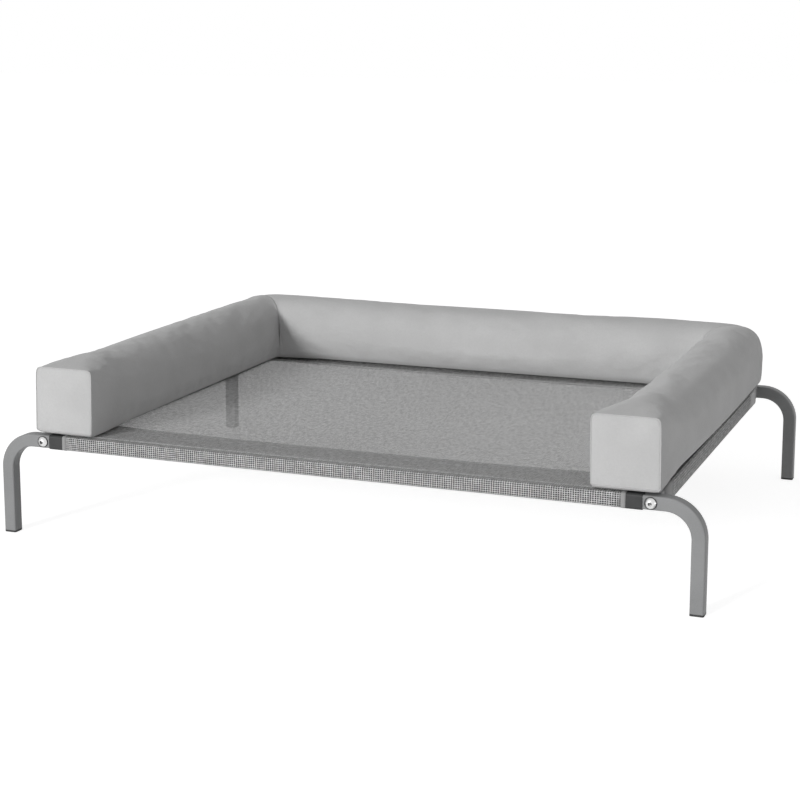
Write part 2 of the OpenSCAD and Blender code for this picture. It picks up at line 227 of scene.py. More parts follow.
# Scale at which the mesh's pattern is worked out, its level at the rim of a hole, and how many streaks its
# yarns have: across them per pitch, along them per metre
PATTERN_SCALE = 100.0
HOLE_LEVEL = 0.01
STREAKS_PER_YARN = 1.3
WARP_STREAKS = 70.0
WEFT_STREAKS = 120.0

# Share of the fibres in the yarns' colour; heights in the bumps, with 1 for the weave or the pile's fibres
YARN_FIBRE_SHARE = 0.3
RIPPLE_HEIGHT = 0.3
YARN_FIBRE_HEIGHT = 0.15
TUFT_HEIGHT = 1.6


# Materials

def add_node(tree, kind, inputs=None, **settings):
    """Adds a node to a tree; an input takes a value or another node's output."""
    made = tree.nodes.new(kind)
    for key, value in settings.items():
        setattr(made, key, value)
    for key, value in (inputs or {}).items():
        if isinstance(value, bpy.types.NodeSocket):
            tree.links.new(value, made.inputs[key])
        else:
            made.inputs[key].default_value = value
    return made


def new_material(name, **inputs):
    """A material with one Principled shader, and that shader's inputs that stay the same all over."""
    material = bpy.data.materials.new(name)
    material.use_nodes = True
    shader = material.node_tree.nodes["Principled BSDF"]
    for key, value in inputs.items():
        shader.inputs[key.replace("_", " ").title().replace("Ior", "IOR")].default_value = value
    return material, material.node_tree, shader


def grey(level, warmth=0.0):
    """A near-neutral colour of the given linear level."""
    return (level * (1 + warmth), level, level * (1 - warmth), 1)


def noise(tree, place, grains, detail=3.0, roughness=0.5):
    """Noise from 0 to 1, with its grains given as a number per unit of place."""
    made = add_node(tree, "ShaderNodeTexNoise", {"Vector": place, "Scale": grains, "Detail": detail,
                                                 "Roughness": roughness})
    return made.outputs["Fac"]


def spread(tree, value, low=0.0, high=1.0, start=0.3, end=0.7):
    """Takes a value from the range between start and end to that between low and high."""
    made = add_node(tree, "ShaderNodeMapRange", {"Value": value, "From Min": start, "From Max": end,
                                                 "To Min": low, "To Max": high})
    return made.outputs["Result"]


def math_node(tree, operation, first, second=0.0):
    made = add_node(tree, "ShaderNodeMath", {0: first, 1: second}, operation=operation)
    return made.outputs["Value"]


def vector_node(tree, operation, *inputs, output="Vector"):
    made = add_node(tree, "ShaderNodeVectorMath", dict(enumerate(inputs)), operation=operation)
    return made.outputs[output]


def axes(tree, vector):
    """The outputs X, Y and Z of a vector."""
    return add_node(tree, "ShaderNodeSeparateXYZ", {"Vector": vector}).outputs


def mixed(tree, share, first, second):
    """A colour between two others."""
    made = add_node(tree, "ShaderNodeMix", data_type="RGBA")
    for index, value in ((0, share), (6, first), (7, second)):
        if isinstance(value, bpy.types.NodeSocket):
            tree.links.new(value, made.inputs[index])
        else:
            made.inputs[index].default_value = value
    return made.outputs[2]


def two_tone(tree, share, tones, warmth=0.0):
    """A grey between the two of a pair."""
    darker, lighter = tones
    return mixed(tree, share, grey(darker, warmth), grey(lighter, warmth))


def bump(tree, shader, height, distance, strength):
    made = add_node(tree, "ShaderNodeBump", {"Height": height, "Distance": distance, "Strength": strength})
    tree.links.new(made.outputs["Normal"], shader.inputs["Normal"])


def object_place(tree):
    return add_node(tree, "ShaderNodeTexCoord").outputs["Object"]


def painted_tube():
    """Satin powder coat: a fine orange peel and a faint cloudiness. Inside the sleeves the tube is painted
    nearly black, as painted shade of the hollow behind the mesh's holes."""
    material, tree, shader = new_material("painted_tube", specular_ior_level=0.14)
    place = object_place(tree)
    cloud = spread(tree, noise(tree, place, grains=14.0))
    speck = spread(tree, noise(tree, place, grains=900.0, detail=1.0), start=0.35, end=0.65, high=0.25)
    coat = two_tone(tree, cloud, PAINT_TONES, PAINT_WARMTH)
    flecked = mixed(tree, speck, coat, grey(PAINT_FLECK, PAINT_WARMTH))
    # Painted shade: inside the sleeves the tube turns nearly black
    spot = axes(tree, vector_node(tree, "ABSOLUTE", place))
    in_long_sleeve = math_node(tree, "SUBTRACT", long_sleeve_x, spot["X"])
    in_side_sleeve = math_node(tree, "SUBTRACT", side_sleeve_y, spot["Y"])
    inside = math_node(tree, "MAXIMUM", in_long_sleeve, in_side_sleeve)
    covered = mixed(tree, spread(tree, inside, start=0.0, end=LONG_TAPE), flecked, grey(SLEEVE_CAVITY_SHADE))
    tree.links.new(covered, shader.inputs["Base Color"])
    tree.links.new(spread(tree, cloud, low=0.42, high=0.5, start=0.0, end=1.0), shader.inputs["Roughness"])
    bump(tree, shader, noise(tree, place, grains=520.0, detail=2.0), distance=0.00006, strength=0.6)
    return material


def dark_plastic():
    """Matte moulding with a fine spark-eroded grain."""
    material, tree, shader = new_material("dark_plastic", specular_ior_level=0.35)
    place = object_place(tree)
    grain = noise(tree, place, grains=1400.0, detail=2.0)
    cloud = spread(tree, noise(tree, place, grains=60.0))
    tree.links.new(two_tone(tree, cloud, PLASTIC_TONES, PLASTIC_WARMTH), shader.inputs["Base Color"])
    tree.links.new(spread(tree, grain, low=0.5, high=0.68), shader.inputs["Roughness"])
    bump(tree, shader, grain, distance=0.00005, strength=0.7)
    return material


def zinc_steel():
    """Bright zinc plate with fine scratches, and painted shade in the sockets round the bolts' axes."""
    material, tree, shader = new_material("zinc_steel", metallic=1.0)
    place = object_place(tree)
    squeezed = vector_node(tree, "MULTIPLY", place, SCRATCH_FINENESS)
    scratch = noise(tree, squeezed, grains=420.0, detail=4.0)
    plate = two_tone(tree, spread(tree, scratch), ZINC_TONES)
    # Painted shade: a dark disc in each bolt's socket, round its axis
    absolute = vector_node(tree, "ABSOLUTE", place)
    from_axis = vector_node(tree, "SUBTRACT", absolute, (side_rail_x, 0.0, rail_z))
    level = vector_node(tree, "MULTIPLY", from_axis, (1.0, 0.0, 1.0))
    radius = vector_node(tree, "LENGTH", level, output="Value")
    inner_rim, outer_rim = SOCKET_SHADE_RIM
    socket_shade = spread(tree, radius, low=0.8, high=0.0, start=inner_rim, end=outer_rim)
    tree.links.new(mixed(tree, socket_shade, plate, grey(SOCKET_SHADE)), shader.inputs["Base Color"])
    worn = noise(tree, place, grains=300.0)
    tree.links.new(spread(tree, worn, low=0.28, high=0.42), shader.inputs["Roughness"])
    bump(tree, shader, scratch, distance=0.00002, strength=0.5)
    return material


def mesh_cloth():
    """Open woven mesh: coated yarns round small oblong holes, with painted shade at the holes' rims, laid out
    on the cloth's flat coordinates.
    """
    material, tree, shader = new_material("mesh", roughness=0.6, specular_ior_level=0.3)
    flat = add_node(tree, "ShaderNodeTexCoord").outputs["UV"]
    along_pitch, across_pitch = HOLE_PITCH
    weave = add_node(tree, "ShaderNodeTexBrick", {
        "Vector": flat, "Scale": PATTERN_SCALE,
        "Mortar Smooth": 1.0, "Mortar Size": YARN_HALF_WIDTH * PATTERN_SCALE,
        "Brick Width": along_pitch * PATTERN_SCALE, "Row Height": across_pitch * PATTERN_SCALE,
    }, offset=0.0, squash=1.0).outputs["Fac"]
    cloud = spread(tree, noise(tree, flat, grains=9.0))
    fibre = spread(tree, noise(tree, flat, grains=1600.0, detail=2.0))
    along_warp = vector_node(tree, "MULTIPLY", flat, (STREAKS_PER_YARN / along_pitch, WARP_STREAKS, 0.0))
    along_weft = vector_node(tree, "MULTIPLY", flat, (WEFT_STREAKS, STREAKS_PER_YARN / across_pitch, 0.0))
    warp = noise(tree, along_warp, grains=1.0, detail=0.0)
    weft = noise(tree, along_weft, grains=1.0, detail=0.0)
    streak = spread(tree, math_node(tree, "ADD", warp, weft), high=0.75, start=0.8, end=1.2)
    streaked = mixed(tree, streak, two_tone(tree, cloud, YARN_TONES), grey(DARK_YARN))
    fibred = mixed(tree, math_node(tree, "MULTIPLY", fibre, YARN_FIBRE_SHARE), streaked, grey(YARN_FIBRE))
    # Painted shade: the yarns darken towards the rims of the holes
    edge = spread(tree, weave, low=0.8, high=0.0, start=0.0, end=0.4)
    tree.links.new(mixed(tree, edge, fibred, grey(HOLE_RIM_SHADE)), shader.inputs["Base Color"])
    tree.links.new(math_node(tree, "GREATER_THAN", weave, HOLE_LEVEL), shader.inputs["Alpha"])
    ripple = math_node(tree, "MULTIPLY", noise(tree, flat, grains=34.0, detail=2.0), RIPPLE_HEIGHT)
    rippled = math_node(tree, "ADD", weave, ripple)
    rough = math_node(tree, "ADD", rippled, math_node(tree, "MULTIPLY", fibre, YARN_FIBRE_HEIGHT))
    bump(tree, shader, rough, distance=0.0008, strength=0.55)
    return material


def woven_tape():
    """Plain ribbed weave of the binding tapes and the thread, with painted shade at the front of the cot."""
    material, tree, shader = new_material("tape", roughness=0.8, specular_ior_level=0.2, sheen_weight=0.15)
    place = object_place(tree)
    rib = add_node(tree, "ShaderNodeTexWave", {
        "Vector": place, "Scale": 420.0, "Distortion": 1.5, "Detail": 2.0, "Detail Scale": 2.0,
    }, bands_direction="DIAGONAL").outputs["Fac"]
    fibre = noise(tree, place, grains=1500.0, detail=2.0)
    worn = math_node(tree, "MULTIPLY", spread(tree, fibre, low=0.4), rib)
    # Painted shade: the tapes and thread at the front of the cot are darkened
    front = spread(tree, axes(tree, place)["Y"], low=0.8, high=0.0, start=-FRONT_SHADE_FADE, end=FRONT_SHADE_FADE)
    toned = mixed(tree, front, two_tone(tree, worn, TAPE_TONES), grey(FRONT_TAPE_SHADE))
    tree.links.new(toned, shader.inputs["Base Color"])
    bump(tree, shader, math_node(tree, "ADD", rib, fibre), distance=0.0002, strength=0.6)
    return material


def foot_shade_share(tree, place):
    """1 on the painted shade along the foot, which reaches higher under the lifted outer edge, and 0 above
    it.
    """
    spot = axes(tree, place)
    from_middle = math_node(tree, "ABSOLUTE", spot["X"])
    past_arm = math_node(tree, "SUBTRACT", from_middle, bolster_outer_x - BOLSTER_WIDTH / 2)
    past_back = math_node(tree, "SUBTRACT", spot["Y"], bolster_back - BOLSTER_WIDTH / 2)
    outer = spread(tree, math_node(tree, "MAXIMUM", past_arm, past_back), start=0.0, end=SHADE_EDGE)
    softened = spread(tree, spot["Y"], start=bolster_front, end=bolster_front + SOFTEN_LENGTH)
    lifted = math_node(tree, "MULTIPLY", outer, softened)
    seam_or_shade_top = spread(tree, lifted, INNER_SHADE_HEIGHT, OUTER_SHADE_HEIGHT, start=0.0, end=1.0)
    above = math_node(tree, "SUBTRACT", spot["Z"], seam_or_shade_top)
    return spread(tree, above, low=1.0, high=0.0, start=bolster_bottom, end=bolster_bottom + SHADE_EDGE)


def bolster_cloth():
    """Short soft pile: fine fibres, small tufts and broad brushed patches, with painted shade along its foot.
    """
    material, tree, shader = new_material("bolster_cloth", roughness=0.95, specular_ior_level=0.1,
                                          sheen_roughness=0.45)
    place = object_place(tree)
    fibre = noise(tree, place, grains=1300.0, roughness=0.65)
    tuft = noise(tree, place, grains=260.0, roughness=0.6)
    brushed = spread(tree, noise(tree, place, grains=16.0, detail=2.0))
    tufted = mixed(tree, spread(tree, tuft, high=0.3), two_tone(tree, brushed, CLOTH_TONES), grey(CLOTH_TUFT))
    piled = mixed(tree, spread(tree, fibre, high=0.3), tufted, grey(CLOTH_FIBRE))
    # Painted shade: the foot turns nearly black and loses its sheen
    foot_shade = foot_shade_share(tree, place)
    tree.links.new(mixed(tree, foot_shade, piled, grey(FOOT_SHADE_TONE)), shader.inputs["Base Color"])
    sheen = spread(tree, foot_shade, low=CLOTH_SHEEN, high=0.0, start=0.0, end=1.0)
    tree.links.new(sheen, shader.inputs["Sheen Weight"])
    pile = math_node(tree, "ADD", fibre, math_node(tree, "MULTIPLY", tuft, TUFT_HEIGHT))
    bump(tree, shader, pile, distance=0.0007, strength=0.45)
    return material


materials = {
    "painted_tube": painted_tube(),
    "dark_plastic": dark_plastic(),
    "zinc_steel": zinc_steel(),
    "mesh": mesh_cloth(),
    "tape": woven_tape(),
    "bolster_cloth": bolster_cloth(),
}


# Helpers for the pieces

def new_piece(name, slot, points, faces, body, flat=None):
    """A mesh in the frame's axes that rides on a body; flat gives each point's place on the cut cloth."""
    mesh = bpy.data.meshes.new(name)
    mesh.from_pydata([tuple(point) for point in points], [], [tuple(face) for face in faces])
    if flat is not None:
        layer = mesh.uv_layers.new(name="flat")
        corners = np.empty(len(mesh.loops), dtype=np.int32)
        mesh.loops.foreach_get("vertex_index", corners)
        layer.data.foreach_set("uv", np.asarray(flat, dtype=np.float32)[corners].ravel())
    mesh.shade_smooth()
    mesh.materials.append(materials[slot])
    piece = bpy.data.objects.new(name, mesh)
    bpy.context.scene.collection.objects.link(piece)
    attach(piece, body)
    return piece


def ring_faces(rings, count, closed=True):
    """Quads between neighbouring rings of the same number of points."""
    last = count if closed else count - 1
    return [(ring * count + i, ring * count + (i + 1) % count,
             (ring + 1) * count + (i + 1) % count, (ring + 1) * count + i)
            for ring in range(rings - 1) for i in range(last)]


def shifted(faces, first):
    """Faces whose points are numbered from first on."""
    return [[first + corner for corner in face] for face in faces]


def vertex_rows(mesh, kind):
    """A vector of each of a mesh's points, as rows."""
    rows = np.empty(len(mesh.vertices) * 3)
    mesh.vertices.foreach_get(kind, rows)
    return rows.reshape(-1, 3)


def points_of(mesh):
    return vertex_rows(mesh, "co")


def normals_of(mesh):
    return vertex_rows(mesh, "normal")


def set_points(mesh, points):
    mesh.vertices.foreach_set("co", np.ascontiguousarray(points, dtype=np.float32).ravel())
    mesh.update()


def finish_skin(mesh, sewn):
    """Turns the faces of a closed mesh to the outside, and keeps its sewn edges, given as sets of points with
    their sharpness, from rounding off."""
    shape = bmesh.new()
    shape.from_mesh(mesh)
    bmesh.ops.recalc_face_normals(shape, faces=shape.faces)
    crease = shape.edges.layers.float.new("crease_edge")
    for edge in shape.edges:
        for points, sharpness in sewn:
            if edge.verts[0].index in points and edge.verts[1].index in points:
                edge[crease] = sharpness
    shape.to_mesh(mesh)
    shape.free()


def lengths_along(points):
    """Distance run along a line of points, from its start to each of them."""
    steps = np.linalg.norm(np.diff(points, axis=0), axis=1)
    return np.concatenate(([0.0], np.cumsum(steps)))


def round_ring(sides):
    """Cosine and sine of evenly spaced angles round a ring."""
    angles = [2 * math.pi * step / sides for step in range(sides)]
    return [(math.cos(angle), math.sin(angle)) for angle in angles]


def thicken(piece):
    """Gives woven mesh its thickness, half on each side of its middle surface."""
    solid = piece.modifiers.new("thickness", "SOLIDIFY")
    solid.thickness = MESH_THICKNESS
    solid.offset = 0.0


# The mesh deck and its sleeves

def deck_drop(x, y):
    """How far the stretched mesh hangs below the rails at a place."""
    along = np.clip(np.abs(x) / (side_rail_x - tube_size / 2), 0, 1)
    across = np.clip(np.abs(y) / (long_rail_y - tube_size / 2), 0, 1)
    return DECK_SAG * (1 - along ** SAG_POWER) * (1 - across ** SAG_POWER)


def grid_lines(half, inner):
    """Evenly spaced lines from -half to half, with lines at -inner and inner."""
    middle = np.linspace(-inner, inner, 2 * round(inner / GRID_STEP) + 1)
    edge = np.linspace(inner, half, round((half - inner) / GRID_STEP) + 1)[1:]
    return np.concatenate((-edge[::-1], middle, edge))


def make_deck():
    """The mesh between the rails, with a tongue that runs onto each of them."""
    xs = grid_lines(side_rail_x, long_sleeve_x)
    ys = grid_lines(long_rail_y, side_sleeve_y)
    flat = np.array([(x, y) for x in xs for y in ys])
    points = np.column_stack((flat, deck_level - deck_drop(flat[:, 0], flat[:, 1])))
    faces = []
    for i in range(len(xs) - 1):
        past_sleeve = abs(xs[i] + xs[i + 1]) / 2 > long_sleeve_x
        for j in range(len(ys) - 1):
            in_notch = past_sleeve and abs(ys[j] + ys[j + 1]) / 2 > side_sleeve_y
            if not in_notch:
                first = i * len(ys) + j
                faces.append((first, first + len(ys), first + len(ys) + 1, first + 1))
    deck = new_piece("deck_mesh", "mesh", points, faces, "frame", flat)
    thicken(deck)
    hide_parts("mesh_deck")
    return deck


def wrap_line(offset, corners=3):
    """Line round a rail's section from the middle of its top, over its outer side and past some of its
    corners; the first value points inward and the second up."""
    half = tube_size / 2 + offset
    straight = half - MESH_CORNER
    line = [(0.0, half)]
    for turn, (inward, up) in enumerate(((-1, 1), (-1, -1), (1, -1), (1, 1))[:corners]):
        for step in range(CORNER_STEPS + 1):
            angle = math.pi / 2 * (1 + turn + step / CORNER_STEPS)
            line.append((inward * straight + MESH_CORNER * math.cos(angle),
                         up * straight + MESH_CORNER * math.sin(angle)))
    return line


def sleeve_line(reach):
    """The whole line of a sleeve: round the rail, then under the deck to the hem's seam, at a distance
    from the rail's middle."""
    line = wrap_line(MESH_OFFSET)
    half = tube_size / 2 + MESH_OFFSET
    hem_height = half - HEM_DROP
    for step in range(TURN_UNDER_STEPS + 1):
        angle = math.pi - math.pi / 2 * step / TURN_UNDER_STEPS
        line.append((half + MESH_CORNER * (1 + math.cos(angle)),
                     hem_height - MESH_CORNER * (1 - math.sin(angle))))
    hem = np.linspace(half + MESH_CORNER, reach, HEM_STEPS + 1)[1:]
    line.extend((across, hem_height) for across in hem)
    line.append((reach + HEM_DROP, half - HEM_DROP / 4))
    return np.array(line)


def make_sleeve(name, turned, side, half_length, hem_half):
    """A sleeve along X, or along Y where turned, on the given side of the cot."""
    line = sleeve_line(SIDE_HEM if turned else hem_reach)
    run = lengths_along(line)
    rail = side_rail_x if turned else long_rail_y
    stations = np.linspace(-half_length, half_length, 2 * round(half_length / GRID_STEP) + 1)
    points, flat = [], []
    for station in stations:
        for (inward, up), length in zip(line, run):
            across = side * (rail - inward)
            along = station
            if inward > tube_size:
                along = station * min(1, hem_half / half_length)
            x, y = (across, along) if turned else (along, across)
            drop = deck_drop(x, y) if inward > tube_size / 2 + MESH_OFFSET else 0.0
            if turned and up < 0:
                drop = SIDE_SLACK * -up / (tube_size / 2)
            points.append((x, y, rail_z + up - drop))
            edge = side * (rail + length)
            flat.append((edge, along) if turned else (along, edge))
    faces = ring_faces(len(stations), len(line), closed=False)
    sleeve = new_piece(name + "_mesh", "mesh", points, faces, "frame", flat)
    thicken(sleeve)
    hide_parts(name)


def make_bindings():
    """Tapes round the ends of the sleeves, their edges turned in to the rail."""
    points, faces = [], []
    for turned, rail, start, width in ((False, long_rail_y, long_sleeve_x, LONG_TAPE),
                                       (True, side_rail_x, side_sleeve_y, SIDE_BAND)):
        profile = ((0.0, TAPE_EDGE_OFFSET), (TAPE_EDGE, TAPE_OFFSET), (width / 2, TAPE_OFFSET * TAPE_CROWN),
                   (width - TAPE_EDGE, TAPE_OFFSET), (width, TAPE_EDGE_OFFSET))
        for side in (-1, 1):
            for end in (-1, 1):
                first = len(points)
                for along, offset in profile:
                    half = tube_size / 2 + offset
                    ring = wrap_line(offset, corners=4)
                    for inward, up in ring:
                        across, place = side * (rail - inward), end * (start + along)
                        x, y = (across, place) if turned else (place, across)
                        slack = SIDE_SLACK * max(0.0, -up) / half if turned else 0.0
                        points.append((x, y, rail_z + up - slack))
                faces += shifted(ring_faces(len(profile), len(ring)), first)
    bindings = new_piece("sleeve_bindings", "tape", points, faces, "frame")
    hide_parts("sleeve_end_tapes")


def stitch(centre, along):
    """One stitch of thread: a short rod that dips into the cloth at both ends."""
    side = np.array((-along[1], along[0], 0.0))
    up = np.array((0.0, 0.0, 1.0))
    rod = []
    for share, thickness, lift in STITCH_RINGS:
        middle = centre + along * share * STITCH_LENGTH + up * lift * STITCH_RADIUS
        rod += [middle + STITCH_RADIUS * thickness * (side * cosine + up * sine)
                for cosine, sine in round_ring(STITCH_SIDES)]
    return rod


def make_stitches():
    """Two rows of stitches along each hem's seam, on top of the deck."""
    points, faces = [], []
    rod_faces = ring_faces(len(STITCH_RINGS), STITCH_SIDES)
    for turned, seam_or_shade_top, half in ((False, long_rail_y - hem_reach, long_sleeve_x),
                               (True, side_rail_x - SIDE_HEM, side_hem_half)):
        along = np.array((0.0, 1.0, 0.0)) if turned else np.array((1.0, 0.0, 0.0))
        for side in (-1, 1):
            for row in STITCH_ROWS:
                across = side * (seam_or_shade_top + row)
                for place in np.arange(-half + STITCH_PITCH, half - STITCH_PITCH, STITCH_PITCH):
                    x, y = (across, place) if turned else (place, across)
                    faces += shifted(rod_faces, len(points))
                    points += stitch(np.array((x, y, deck_level - deck_drop(x, y))), along)
    return new_piece("hem_stitches", "tape", points, faces, "frame")


# The bolster

# Place and shape of one of its sections: the outward direction is level, and squareness is the share of
# the way from the soft section to that of the flat ends
Station = namedtuple("Station", "middle outward half_width squareness rise lean base_power",
                     defaults=(0.0, 0.0, 0.0, BASE_POWER))

# Turns a place or a direction on the left, seen from above, into its mirror image on the right
MIRROR = np.array((-1.0, 1.0))


def bent(share, power):
    """A share of the full size, bent to the superellipse of the given power."""
    return np.sign(share) * np.abs(share) ** (2 / power)


def section(half_width, squareness, rise, lean, base_power):
    """The bolster's section as evenly spaced points (across, height), from the middle of its base. Its outer
    top edge stands up by rise, its top leans inward, and a greater base power makes its foot squarer."""
    angle = np.radians(np.arange(-90, 270))
    below = np.sin(angle) < 0
    soft_power = np.where(below, base_power, np.where(np.cos(angle) > 0, OUTER_POWER, INNER_POWER))
    power = soft_power + (END_POWER - soft_power) * squareness
    crown = BOLSTER_HEIGHT - END_DROP * squareness
    reach = np.where(below, SHOULDER_HEIGHT + BASE_CUT, crown - SHOULDER_HEIGHT)
    share_across = bent(np.cos(angle), power)
    outer_share = np.clip((share_across - FOOT_START) / FOOT_RUN, 0, 1)
    foot = PANEL_LIFT * squareness ** LIFT_FALL + FOOT_LIFT * (1 - squareness) * outer_share
    height = np.maximum(SHOULDER_HEIGHT + reach * bent(np.sin(angle), power), foot)
    height += rise * (1 + share_across) / 2 * np.clip(height / BOLSTER_HEIGHT, 0, 1)
    outline = np.column_stack((half_width * share_across - lean * height / BOLSTER_HEIGHT, height))
    outline = np.vstack((outline, outline[:1]))
    run = lengths_along(outline)
    spots = np.linspace(0, run[-1], RING_POINTS, endpoint=False)
    return np.column_stack([np.interp(spots, run, outline[:, axis]) for axis in (0, 1)])


def turn_reach(angle):
    """Distance from the turning line to the rounded outer corner, at an angle from the left arm."""
    face = BOLSTER_WIDTH + CREASE_RADIUS
    centre = face - CORNER_RADIUS
    lean = min(angle, math.pi / 2 - angle)
    along = centre * (math.cos(lean) + math.sin(lean))
    if face * math.tan(lean) <= centre:
        return face / math.cos(lean)
    return along + math.sqrt(along ** 2 - 2 * centre ** 2 + CORNER_RADIUS ** 2)


def turn_station(angle, side):
    """A corner's section at an angle from its arm, as if it were on the left."""
    outward = np.array((-math.cos(angle), math.sin(angle)))
    half_width = (turn_reach(angle) - CREASE_RADIUS) / 2
    middle = np.array((turn_x, turn_y)) + outward * (CREASE_RADIUS + half_width)
    return Station(middle, outward, half_width, rise=CORNER_RISE[side])


def arm_stations(side):
    """Sections of an arm, from its flat end to the mitre seam, as if it were on the left."""
    stations = []
    for share in np.linspace(0, 1, ARM_RINGS) ** ARM_CROWDING:
        drawn_in = END_DRAW_IN[side] * (1 - math.sin(math.pi / 2 * share))
        x = turn_x - CREASE_RADIUS - BOLSTER_WIDTH / 2 + drawn_in
        y = bolster_front + (turn_y - bolster_front) * share
        squareness = max(0.0, 1 - (y - bolster_front) / SOFTEN_LENGTH) ** 2
        swell = BOLSTER_SWELL * math.sin(math.pi * share)
        half_width = BOLSTER_WIDTH / 2 + swell - END_NARROWING * squareness
        rise = OUTER_RISE[side] * math.sin(math.pi * share) + CORNER_RISE[side] * share ** CORNER_FALL
        stations.append(Station(np.array((x, y)), np.array((-1.0, 0.0)), half_width, squareness,
                                rise, END_LEAN[side] * squareness))
    stations += [turn_station(angle, side) for angle in np.linspace(0, math.pi / 4, TURN_RINGS)[1:]]
    return stations


def back_stations():
    """Sections of the back, from the left mitre seam to the right one."""
    turn = np.linspace(math.pi / 4, math.pi / 2, TURN_RINGS)
    left = [turn_station(angle, "left") for angle in turn]
    straight = []
    for share in np.linspace(0, 1, BACK_RINGS)[1:-1]:
        middle = np.array((turn_x * (1 - 2 * share), turn_y + CREASE_RADIUS + BOLSTER_WIDTH / 2))
        half_width = BOLSTER_WIDTH / 2 + BOLSTER_SWELL * math.sin(math.pi * share)
        left_rise = CORNER_RISE["left"] * (1 - share) ** CORNER_FALL
        right_rise = CORNER_RISE["right"] * share ** CORNER_FALL
        rise = OUTER_RISE["back"] * math.sin(math.pi * share) + left_rise + right_rise
        ease = min(1.0, BASE_EASE * math.sin(math.pi * share))
        base_power = BASE_POWER + (BACK_BASE_POWER - BASE_POWER) * ease
        straight.append(Station(middle, np.array((0.0, 1.0)), half_width, rise=rise, base_power=base_power))
    right = [station._replace(middle=station.middle * MIRROR, outward=station.outward * MIRROR)
             for station in (turn_station(angle, "right") for angle in reversed(turn))]
    return left + straight + right


def skin_rings(stations):
    """Rings of points round the bolster's skin, one for each station."""
    rings = []
    for station in stations:
        outline = section(*station[2:])
        place = station.middle + outline[:, :1] * station.outward
        rings.append(np.column_stack((place, bolster_bottom + outline[:, 1])))
    return np.array(rings)


def inflate(piece, pinned):
    """Swells a pad's slack skin with a short cloth simulation; the pinned points stay where they are."""
    rest = points_of(piece.data)
    group = piece.vertex_groups.new(name="pinned")
    group.add([int(index) for index in np.flatnonzero(pinned)], 1.0, "REPLACE")
    cloth = piece.modifiers.new("stuffing", "CLOTH")
    for setting, value in SKIN_SETTINGS.items():
        setattr(cloth.settings, setting, value)
    cloth.settings.vertex_group_mass = group.name
    cloth.settings.use_pressure = True
    cloth.settings.uniform_pressure_force = PRESSURE
    cloth.settings.shrink_min = -SKIN_SLACK
    cloth.settings.effector_weights.gravity = 0.0
    cloth.collision_settings.use_collision = False
    cloth.point_cache.frame_end = SIMULATED_FRAMES
    for number in range(1, SIMULATED_FRAMES + 1):
        bpy.context.scene.frame_set(number)
    posed = piece.evaluated_get(bpy.context.evaluated_depsgraph_get())
    move = points_of(posed.data) - rest
    piece.modifiers.remove(cloth)
    piece.vertex_groups.remove(group)
    bpy.context.scene.frame_set(1)
    length = np.maximum(np.linalg.norm(move, axis=1, keepdims=True), SMALLEST_MOVE)
    set_points(piece.data, rest + move * np.minimum(1, LARGEST_MOVE / length))


def dip_seam(piece, start, toward):
    """Draws the skin in along the mitre seam, an upright plane from start in the direction toward."""
    points = points_of(piece.data)
    across = np.array((-toward[1], toward[0]))
    distance = (points[:, :2] - start) @ across
    height = points[:, 2] - bolster_bottom
    share = np.exp(-(distance / SEAM_REACH) ** 2) * np.clip(height / SHOULDER_HEIGHT, 0, 1)
    set_points(piece.data, points - SEAM_DIP * share[:, None] * normals_of(piece.data))


def add_fold(piece, start, end, width, height):
    """Raises a soft fold in the skin along a line, with a hollow beside it."""
    points = points_of(piece.data)
    normals = normals_of(piece.data)
    line = np.subtract(end, start)
    share = np.clip((points - start) @ line / (line @ line), 0, 1)
    offset = points - start - share[:, None] * line
    across = np.einsum("ij,ij->i", offset, np.cross(normals, line / np.linalg.norm(line))) / width
    ridge = np.exp(-across ** 2) - HOLLOW_DEPTH * np.exp(-(across - HOLLOW_PLACE) ** 2)
    near = np.exp(-(np.linalg.norm(offset, axis=1) / (FOLD_REACH * width)) ** FOLD_REACH_POWER)
    lift = height * np.sin(math.pi * share) * ridge * near
    set_points(piece.data, points + lift[:, None] * normals)


def make_pad(name, rings, flat_end, mirrored, nodes):
    """A stuffed length of the bolster, with a mitre at each end or a flat panel at its first ring."""
    count = RING_POINTS
    points = list(rings.reshape(-1, 3))
    faces = ring_faces(len(rings), count)
    first_ring = range(count)
    last_ring = range((len(rings) - 1) * count, len(rings) * count)
    first_bulge = PANEL_BULGE if flat_end else 0.0
    first_crease = PANEL_CREASE if flat_end else 1.0
    for ring, numbers, bulge in ((rings[-1], last_ring, 0.0), (rings[0], first_ring, first_bulge)):
        outer = list(numbers)
        centre = ring.mean(axis=0)
        for step in range(1, PANEL_RINGS):
            scale = 1 - step / PANEL_RINGS
            inner = list(range(len(points), len(points) + count))
            points += list(centre + (ring - centre) * scale - np.array((0.0, bulge * (1 - scale ** 2), 0.0)))
            faces += [(outer[i], outer[(i + 1) % count], inner[(i + 1) % count], inner[i])
                      for i in range(count)]
            outer = inner
        faces.append(outer)
    points = np.array(points)
    if mirrored:
        points[:, 0] *= -1
    pad = new_piece(name, "bolster_cloth", points, faces, "bolster")
    finish_skin(pad.data, [(set(last_ring), 1.0), (set(first_ring), first_crease)])
    pinned = points[:, 2] < bolster_bottom + PINNED_HEIGHT
    pinned[:first_ring.stop] = True
    pinned[last_ring.start:] = True
    inflate(pad, pinned)
    smooth = pad.modifiers.new("smooth", "SUBSURF")
    smooth.levels = 1
    smooth.render_levels = 1
    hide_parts(*nodes)
    return pad


